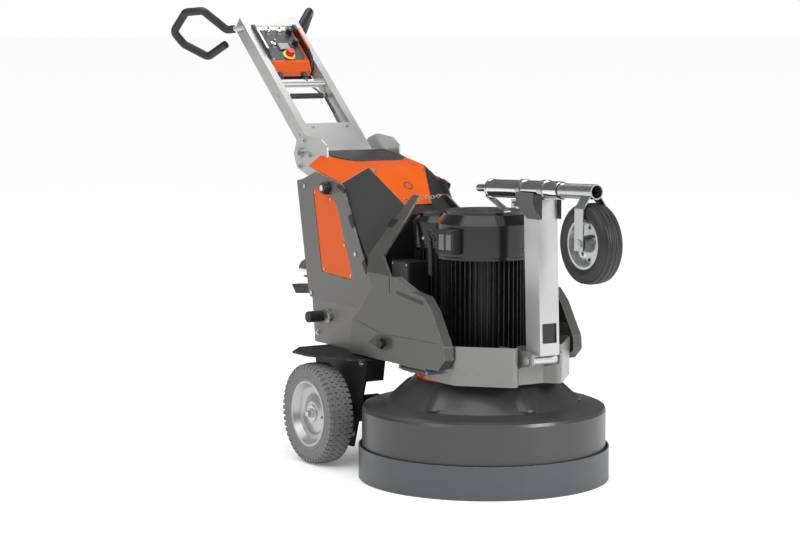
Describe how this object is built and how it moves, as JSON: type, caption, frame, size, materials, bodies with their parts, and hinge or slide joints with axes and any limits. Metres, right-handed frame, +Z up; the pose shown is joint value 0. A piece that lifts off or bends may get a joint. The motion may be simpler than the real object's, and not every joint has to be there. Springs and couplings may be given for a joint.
{
  "type": "walk-behind floor grinder",
  "caption": "Walk-behind remote-controlled planetary concrete floor grinder with folding handle, swing-out weights, motor-driven wheels and a folding jockey wheel.",
  "frame": {"origin": "on the floor, under the middle of the machine's bounding box", "axes": "+X forward towards the jockey wheel, +Y to the machine's left, +Z up"},
  "size_m": [2.5386, 0.87, 1.6354],
  "materials": {
    "satin_grey_sheet": "satin",
    "orange_paint": "satin",
    "dark_grey_paint": "satin",
    "wing_grey_paint": "satin",
    "shroud_grey_paint": "satin",
    "apron_grey_paint": "satin",
    "motor_black": "gloss",
    "silver_sheet": "brushed",
    "zinc_steel": "satin",
    "chrome_steel": "polished",
    "machined_steel": "machined",
    "iron": "rough",
    "tyre_rubber": "matte",
    "black_tyre_rubber": "matte",
    "black_rubber": "matte",
    "blue_grey_rubber": "matte",
    "black_plastic": "matte",
    "orange_plastic": "gloss",
    "red_plastic": "gloss",
    "grey_plastic": "matte"
  },
  "bodies": {
    "chassis": {"chassis_frame": "wing_grey_paint", "side_plates": "satin_grey_sheet", "inset_panels": "orange_paint", "hood": "orange_paint", "front_cover": "dark_grey_paint", "top_tray": "dark_grey_paint", "rear_panel": "dark_grey_paint", "wheel_brackets": "wing_grey_paint", "drive_motors": "iron", "pivot_plates": "silver_sheet", "dust_port": "chrome_steel", "chassis_fasteners": "zinc_steel", "rubber_fittings": "black_rubber", "inverter": "grey_plastic"},
    "lock_knob_right": {"lock_knob_right": "black_plastic"},
    "lock_knob_left": {"lock_knob_left": "black_plastic"},
    "wheel_right": {"tyre_right": "tyre_rubber", "wheel_rim_right": "silver_sheet"},
    "wheel_left": {"tyre_left": "tyre_rubber", "wheel_rim_left": "silver_sheet"},
    "handle": {"handle_frame": "silver_sheet", "grip_right": "black_rubber", "grip_left": "black_rubber", "remote_cradle": "black_plastic", "remote_cable": "grey_plastic"},
    "remote": {"remote_case": "orange_plastic"},
    "toggle_left": {"toggle_left": "chrome_steel"},
    "toggle_middle": {"toggle_middle": "chrome_steel"},
    "toggle_lower": {"toggle_lower": "chrome_steel"},
    "knob_upper": {"knob_upper": "black_plastic"},
    "knob_lower": {"knob_lower": "black_plastic"},
    "stop_button": {"stop_button": "red_plastic"},
    "release_bar": {"release_bar": "black_plastic"},
    "head": {"apron": "apron_grey_paint", "gear_housing": "orange_paint", "shroud": "shroud_grey_paint", "main_motor_housing": "motor_black", "main_motor_cowl": "motor_black", "head_motor_housing": "motor_black", "head_motor_cowl": "motor_black", "motor_boxes": "black_plastic", "carrier_belt": "black_rubber"},
    "skirt": {"skirt": "blue_grey_rubber"},
    "main_rotor": {"main_rotor": "machined_steel"},
    "head_rotor": {"head_rotor": "machined_steel"},
    "carrier": {"carrier": "machined_steel", "satellite_belt": "black_rubber"},
    "satellite_1": {"satellite_1": "machined_steel"},
    "satellite_2": {"satellite_2": "machined_steel"},
    "satellite_3": {"satellite_3": "machined_steel"},
    "post": {"post": "silver_sheet", "jockey_outer_tube": "chrome_steel"},
    "jockey_slide": {"jockey_inner_tube": "zinc_steel"},
    "jockey_wheel": {"jockey_rim": "zinc_steel", "jockey_tyre": "black_tyre_rubber"},
    "jockey_spindle": {"jockey_spindle": "machined_steel"},
    "weight_right": {"weight_right": "wing_grey_paint"},
    "weight_left": {"weight_left": "wing_grey_paint"}
  },
  "joints": [
    {"name": "wheel_right_spin", "type": "hinge", "parent": "chassis", "child": "wheel_right", "pos_m": [0.02275, -0.3735, 0.181], "axis": [0, 1, 0], "continuous": true},
    {"name": "wheel_left_spin", "type": "hinge", "parent": "chassis", "child": "wheel_left", "pos_m": [0.02275, 0.3735, 0.181], "axis": [0, 1, 0], "continuous": true},
    {"name": "head_float", "type": "hinge", "parent": "chassis", "child": "head", "pos_m": [0.23775, 0, 0.43], "axis": [0, 1, 0], "range_deg": [-1, 3]},
    {"name": "lock_knob_right_turn", "type": "hinge", "parent": "chassis", "child": "lock_knob_right", "pos_m": [-0.14725, -0.225, 0.972], "axis": [0, 1, 0], "range_deg": [0, 90]},
    {"name": "lock_knob_left_turn", "type": "hinge", "parent": "chassis", "child": "lock_knob_left", "pos_m": [-0.14725, 0.225, 0.972], "axis": [0, 1, 0], "range_deg": [0, 90]},
    {"name": "handle_fold", "type": "hinge", "parent": "chassis", "child": "handle", "pos_m": [-0.46125, 0, 1.082], "axis": [0, 1, 0], "range_deg": [-12, 95]},
    {"name": "remote_lift", "type": "slide", "parent": "handle", "child": "remote", "axis": [0.6494, 0, 0.7604], "range_m": [0, 0.08]},
    {"name": "toggle_left_tilt", "type": "hinge", "parent": "remote", "child": "toggle_left", "pos_m": [-0.96079, -0.032, 1.54416], "axis": [0, 1, 0], "range_deg": [-18, 18], "stiffness_Nm_per_rad": 0.05},
    {"name": "toggle_middle_tilt", "type": "hinge", "parent": "remote", "child": "toggle_middle", "pos_m": [-0.96079, 0.018, 1.54416], "axis": [0, 1, 0], "range_deg": [-18, 18], "stiffness_Nm_per_rad": 0.05},
    {"name": "toggle_lower_tilt", "type": "hinge", "parent": "remote", "child": "toggle_lower", "pos_m": [-0.90072, -0.038, 1.49285], "axis": [0, 1, 0], "range_deg": [-18, 18], "stiffness_Nm_per_rad": 0.05},
    {"name": "knob_upper_turn", "type": "hinge", "parent": "remote", "child": "knob_upper", "pos_m": [-0.95091, 0.06, 1.53571], "axis": [0.6494, 0, 0.7604], "range_deg": [-135, 135]},
    {"name": "knob_lower_turn", "type": "hinge", "parent": "remote", "child": "knob_lower", "pos_m": [-0.90072, 0.06, 1.49285], "axis": [0.6494, 0, 0.7604], "range_deg": [-135, 135]},
    {"name": "stop_button_press", "type": "slide", "parent": "remote", "child": "stop_button", "axis": [-0.6494, 0, -0.7604], "range_m": [0, 0.004], "stiffness_N_per_m": 900},
    {"name": "release_bar_pull", "type": "slide", "parent": "handle", "child": "release_bar", "axis": [-0.7604, 0, 0.6494], "range_m": [0, 0.02], "stiffness_N_per_m": 900},
    {"name": "skirt_lift", "type": "slide", "parent": "head", "child": "skirt", "axis": [0, 0, 1], "range_m": [0, 0.03]},
    {"name": "carrier_spin", "type": "hinge", "parent": "head", "child": "carrier", "pos_m": [0.52975, 0, 0.2], "axis": [0, 0, 1], "continuous": true},
    {"name": "head_rotor_spin", "type": "hinge", "parent": "head", "child": "head_rotor", "pos_m": [0.25475, 0, 0.5], "axis": [0, 0, 1], "continuous": true},
    {"name": "main_rotor_spin", "type": "hinge", "parent": "head", "child": "main_rotor", "pos_m": [0.52975, 0, 0.5], "axis": [0, 0, 1], "continuous": true},
    {"name": "satellite_1_spin", "type": "hinge", "parent": "carrier", "child": "satellite_1", "pos_m": [0.80475, 0, 0.077], "axis": [0, 0, 1], "continuous": true},
    {"name": "satellite_2_spin", "type": "hinge", "parent": "carrier", "child": "satellite_2", "pos_m": [0.39225, 0.23816, 0.077], "axis": [0, 0, 1], "continuous": true},
    {"name": "satellite_3_spin", "type": "hinge", "parent": "carrier", "child": "satellite_3", "pos_m": [0.39225, -0.23816, 0.077], "axis": [0, 0, 1], "continuous": true},
    {"name": "post_fold", "type": "hinge", "parent": "head", "child": "post", "pos_m": [0.87975, 0, 0.452], "axis": [0, 1, 0], "range_deg": [0, 92]},
    {"name": "jockey_tube_slide", "type": "slide", "parent": "post", "child": "jockey_slide", "axis": [0.9993, 0, 0.0384], "range_m": [0, 0.15]},
    {"name": "jockey_spindle_turn", "type": "hinge", "parent": "post", "child": "jockey_spindle", "pos_m": [0.57627, 0, 1.00576], "axis": [0.9993, 0, 0.0384], "range_deg": [-30, 9030]},
    {"name": "jockey_wheel_spin", "type": "hinge", "parent": "jockey_slide", "child": "jockey_wheel", "pos_m": [1.13927, 0, 0.86026], "axis": [0, 1, 0], "continuous": true},
    {"name": "weight_right_swing", "type": "hinge", "parent": "head", "child": "weight_right", "pos_m": [0.50675, -0.268, 0.388], "axis": [1, 0, 0], "range_deg": [0, 20]},
    {"name": "weight_left_swing", "type": "hinge", "parent": "head", "child": "weight_left", "pos_m": [0.50675, 0.268, 0.388], "axis": [-1, 0, 0], "range_deg": [0, 20]}
  ],
  "couplings": [
    {"joint": "head_rotor_spin", "follows": "carrier_spin", "ratio": 3},
    {"joint": "satellite_1_spin", "follows": "main_rotor_spin", "ratio": 3.74},
    {"joint": "satellite_2_spin", "follows": "main_rotor_spin", "ratio": 3.74},
    {"joint": "satellite_3_spin", "follows": "main_rotor_spin", "ratio": 3.74},
    {"joint": "jockey_spindle_turn", "follows": "jockey_tube_slide", "rad_per_m": 1047.2}
  ]
}
